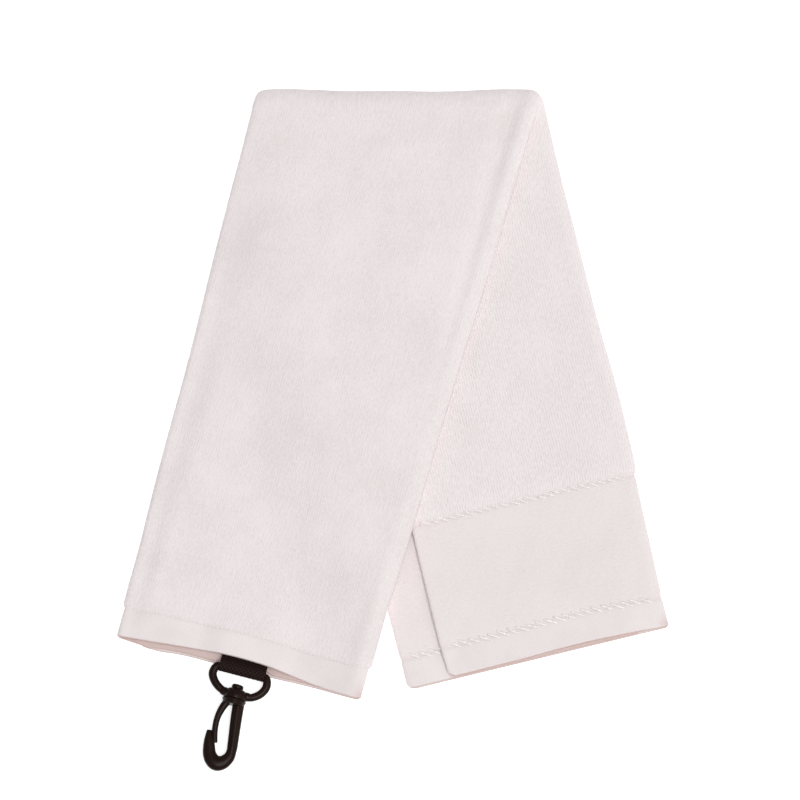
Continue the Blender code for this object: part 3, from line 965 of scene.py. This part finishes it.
def webbing(look):
    """Webbing folded round the ring's bar; its two ends lie flat inside the hem."""
    mid = BAR_RADIUS + 0.3 + WEB_THICK / 2
    angle = np.radians(-112 + 224 * np.arange(1, STRAP_STEPS) / STRAP_STEPS)
    round_bar = np.stack([mid * np.cos(angle) - 0.2, mid * np.sin(angle)], -1)
    lower, upper = strap_layer(-1, mid * 0.92), strap_layer(1, mid * 0.92)
    path = np.concatenate([lower, round_bar, upper[::-1]])
    run = run_along(path)
    even = np.arange(0, run[-1], 0.25)
    path = points_at(even, run, path)
    for _ in range(6):
        path[1:-1] = (path[:-2] + 2 * path[1:-1] + path[2:]) / 4
    tangent = unit(np.gradient(path, axis=0))
    out = np.stack([tangent[:, 1], -tangent[:, 0]], -1)

    # diamonds: what is raised on one face is sunk on the other
    l = np.linspace(-13.0, 13.2, 110)
    s, cross = np.meshgrid(even, l, indexing="ij")
    relief = 0.5 + 0.5 * np.cos(2 * math.pi * s / 2.2) * np.cos(2 * math.pi * cross / 2.4)
    edge = smooth(np.minimum(cross - l[0], l[-1] - cross) / 0.9)
    half = WEB_THICK / 2 * (0.55 + 0.45 * edge)
    sides = []
    for sign, sunk in ((1, 1 - relief), (-1, relief)):
        offset = sign * (half - 0.26 * sunk * edge)
        t = path[:, None, 0] + out[:, None, 0] * offset
        z = path[:, None, 1] + out[:, None, 1] * offset
        sides.append(put_on_bar(np.stack([t, cross, z], -1)))
    obj = new_object("webbing", *closed_grid(sides), look)
    mark_points(obj, "yarn", "FLOAT", np.concatenate([relief, relief]))
    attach(obj, "front_leg")
    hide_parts("webbing_loop")


def closed_grid(sides):
    """Two facing grids of points, joined round their edges into one closed skin."""
    rows, cols = sides[0].shape[:2]
    size = rows * cols
    faces = facing_quads(rows, cols)
    loop = [r * cols + c for r, c in edge_loop(rows, cols)]
    for a, b in zip(loop, loop[1:] + loop[:1]):
        faces.append((b, a, size + a, size + b))
    return np.concatenate([s.reshape(-1, 3) for s in sides]), faces


def smooth_path(knots, steps, cyclic):
    """Catmull-Rom through rows of values."""
    knots = np.array(knots, float)
    count = len(knots)
    path = []
    for i in range(count if cyclic else count - 1):
        near = np.arange(i - 1, i + 3)
        a, b, c, d = knots[near % count if cyclic else near.clip(0, count - 1)]
        for u in np.arange(steps) / steps:
            path.append(0.5 * (2 * b + (c - a) * u + (2 * a - 5 * b + 4 * c - d) * u**2
                               + (3 * b - a - 3 * c + d) * u**3))
    if not cyclic:
        path.append(knots[-1])
    return np.array(path)


def sweep(knots, steps, profile, cyclic=False):
    """A solid swept along (t, l, half width, half depth) knots. profile gives points of a
    section as (across, up) for half width and half depth."""
    path = smooth_path(knots, steps, cyclic)
    tangent = np.gradient(path[:, :2], axis=0)
    if cyclic:
        tangent = np.roll(path[:, :2], -1, axis=0) - np.roll(path[:, :2], 1, axis=0)
    tangent = unit(tangent)
    out = np.stack([-tangent[:, 1], tangent[:, 0]], -1)
    rings = []
    for point, side in zip(path, out):
        ring = profile(point[2], point[3])
        rings.append(np.concatenate([point[:2] + ring[:, :1] * side, ring[:, 1:]], 1))
    rings = np.array(rings)
    rows, cols = rings.shape[:2]
    faces = []
    for r in range(rows if cyclic else rows - 1):
        n = (r + 1) % rows
        for c in range(cols):
            k = (c + 1) % cols
            faces.append((r * cols + c, r * cols + k, n * cols + k, n * cols + c))
    if not cyclic:
        faces.append(tuple(range(cols - 1, -1, -1)))
        faces.append(tuple((rows - 1) * cols + c for c in range(cols)))
    verts = rings.reshape(-1, 3)
    # local axes: x across (l), y inwards (-t), z up
    return np.stack([verts[:, 1], -verts[:, 0], verts[:, 2]], -1), faces


def oval(half_width, half_depth, sides, power):
    """Points round an oval, which is squarer where power is below 1."""
    turn = 2 * np.pi * np.arange(sides) / sides
    wide = np.sign(np.cos(turn)) * abs(np.cos(turn)) ** power
    deep = np.sign(np.sin(turn)) * abs(np.sin(turn)) ** power
    return np.stack([half_width * wide, half_depth * deep], -1)


def oval_section(sides, power):
    return lambda half_width, half_depth: oval(half_width, half_depth, sides, power)


def ridged(half_width, half_depth):
    """The shank's section: an oval with a rib along the middle of each face."""
    points = oval(half_width, half_depth * 0.86, 40, 0.85)
    rib = np.exp(-((points[:, 0] / (half_width * 0.34)) ** 6))
    points[:, 1] += np.sign(points[:, 1]) * rib * half_depth * 0.2
    return points


def lathe(profile):
    """A solid turned about the hook's long axis from (radius, t) points, axis to axis."""
    sides = 48
    turn = 2 * np.pi * np.arange(sides) / sides
    verts, faces = [], []
    for radius, t in profile[1:-1]:
        verts += [(radius * math.cos(a), -t, radius * math.sin(a)) for a in turn]
    rows = len(profile) - 2
    verts += [(0, -profile[0][1], 0), (0, -profile[-1][1], 0)]
    top, bottom = len(verts) - 2, len(verts) - 1
    for k in range(sides):
        n = (k + 1) % sides
        for a in range(0, (rows - 1) * sides, sides):
            faces.append((a + k, a + n, a + sides + n, a + sides + k))
        faces.append((top, n, k))
        faces.append((bottom, (rows - 1) * sides + k, (rows - 1) * sides + n))
    return np.array(verts), faces


def rounded_profile(points, radius):
    """Cuts the corners of an (r, t) profile with a small three-point fillet."""
    found = [points[0]]
    for before, here, after in zip(points, points[1:], points[2:]):
        here, before, after = (np.array(p, float) for p in (here, before, after))
        to, away = before - here, after - here
        reach = min(radius, np.linalg.norm(to) / 2, np.linalg.norm(away) / 2)
        start = here + unit(to) * reach
        end = here + unit(away) * reach
        found += [tuple(start), tuple((start + end + 2 * here) / 4), tuple(end)]
    return found + [points[-1]]


def apply_modifiers(obj):
    bpy.context.view_layer.update()
    evaluated = obj.evaluated_get(bpy.context.evaluated_depsgraph_get())
    mesh = bpy.data.meshes.new_from_object(evaluated)
    obj.modifiers.clear()
    obj.data = mesh


def moulded(name, look, solids, cuts, voxel, relax):
    """Solids fused and cut, then remeshed so that every join has a moulded fillet."""
    others = []
    for i, (verts, faces) in enumerate(solids + cuts):
        other = new_object(f"{name}_{i}", verts, faces)
        other.matrix_world = HOOK_MATRIX
        others.append(other)
    base = others.pop(0)
    for i, other in enumerate(others):
        boolean = base.modifiers.new("join", "BOOLEAN")
        boolean.operation = "UNION" if i < len(solids) - 1 else "DIFFERENCE"
        boolean.object = other
    remesh = base.modifiers.new("mould", "REMESH")
    remesh.mode = "VOXEL"
    remesh.voxel_size = voxel * MM
    relaxed = base.modifiers.new("relax", "SMOOTH")
    relaxed.factor = 0.5
    relaxed.iterations = relax
    apply_modifiers(base)
    for other in others:
        bpy.data.objects.remove(other, do_unlink=True)
    base.name = name
    base.data.materials.clear()
    base.data.materials.append(look)
    base.data.shade_smooth()
    return base


def ring_piece(look):
    """The D-shaped ring, thickened at both sides of the boss that holds the hook's stud."""
    wire = [
        (0, 0, 1.95), (0, 11.8, 1.95), (1.2, 14.5, 2.25), (5.4, 15.4, 2.35), (9.8, 13.4, 2.3),
        (13.0, 9.2, 2.2), (14.2, 3.5, 2.0), (14.0, -3.5, 2.0), (12.4, -9.0, 2.2),
        (9.3, -13.1, 2.3), (5.2, -15.4, 2.35), (1.2, -14.5, 2.25), (0, -11.8, 1.95),
    ]
    knots = [(t, l, r, r * 0.95) for t, l, r in wire]
    solids = [sweep(knots, 8, oval_section(20, 0.9), cyclic=True)]
    boss = [
        (0, 10.6), (4.3, 10.6), (5.5, 11.4), (6.2, 12.8), (6.5, 14.3), (6.5, 16.28), (0, 16.28),
    ]
    solids.append(lathe(rounded_profile(boss, 0.3)))
    for sign in (-1, 1):
        shoulder = [
            (13.5, sign * 4.6, 2.4, 2.4), (13.3, sign * 7.0, 2.45, 2.4),
            (12.7, sign * 8.2, 2.1, 2.1),
        ]
        solids.append(sweep(shoulder, 6, oval_section(16, 0.8)))
    bore = lathe([(0, 9.0), (2.5, 9.0), (2.5, 18.0), (0, 18.0)])
    ring = moulded("ring", look, solids, [bore], voxel=0.24, relax=4)
    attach(ring, "ring")
    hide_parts("swivel_ring")


def hook_piece(look):
    """The stud with its collar, the ribbed shank, and the crook that ends in the nose."""
    stud = [
        (0, 8.0), (2.6, 8.0), (3.3, 8.6), (3.3, 10.5), (2.15, 10.6), (2.15, 16.36), (6.4, 16.36),
        (6.75, 16.8), (6.8, 17.4), (6.3, 17.95), (6.05, 18.15), (6.3, 18.4), (6.3, 18.9),
        (5.6, 19.6), (0, 19.6),
    ]
    shank = [
        (17.6, 2.9, 3.3, 2.9), (26, 3.7, 3.25, 2.9), (36.4, 5.0, 3.05, 2.85),
        (43.2, 5.85, 2.9, 2.8), (45.4, 5.95, 2.6, 2.6),
    ]
    crook = [
        (43.0, 5.85, 2.7, 2.5), (46.4, 5.85, 2.95, 2.7), (49.0, 5.25, 3.3, 2.8),
        (52.1, 2.9, 3.9, 3.0), (53.5, -0.4, 4.3, 3.1), (52.1, -3.4, 4.1, 3.0),
        (49.2, -5.6, 3.7, 2.8), (45.3, -6.85, 3.35, 2.6), (41.8, -7.8, 2.8, 2.4),
        (39.1, -8.5, 2.05, 2.1), (36.5, -8.95, 1.45, 1.7),
    ]
    solids = [
        lathe(rounded_profile(stud, 0.25)),
        sweep(shank, 8, ridged),
        sweep(crook, 8, oval_section(28, 0.9)),
    ]
    # room in the nose for the gate's tip
    notch = [(t, l, w + 0.16, d + 0.3) for t, l, w, d in GATE_KNOTS[3:]]
    notch = sweep(notch + [(43.0, -4.2, 1.6, 1.9)], 6, oval_section(20, 0.8))
    hook = moulded("hook", look, solids, [notch], voxel=0.22, relax=4)
    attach(hook, "hook")
    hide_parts("hook_body")


def gate_piece(look):
    """The spring gate, fused to the collar at its root and free at its tip."""
    blade = sweep(GATE_KNOTS, 8, oval_section(24, 0.8))
    gate = moulded("gate", look, [blade], [], voxel=0.2, relax=3)
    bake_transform(gate)
    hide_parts("spring_gate")


# ---- assembly


def main():
    set_camera()
    set_light()
    make_floor()
    cord = thread_material("cord_thread", 0.45, 900.0, CORD_SHADE, CORD_WHITE)
    thread = thread_material("hem_thread", 0.6, 1800.0, WOVEN_SHADE, HEM_WHITE)
    plastic = plastic_material()
    sheet = build_sheet([pile_material(), woven_material(), hem_material()])
    cord_lines(cord)
    hem_stitches(thread)
    side_stitches(thread)
    webbing(webbing_material())
    ring_piece(plastic)
    hook_piece(plastic)
    gate_piece(plastic)


main()
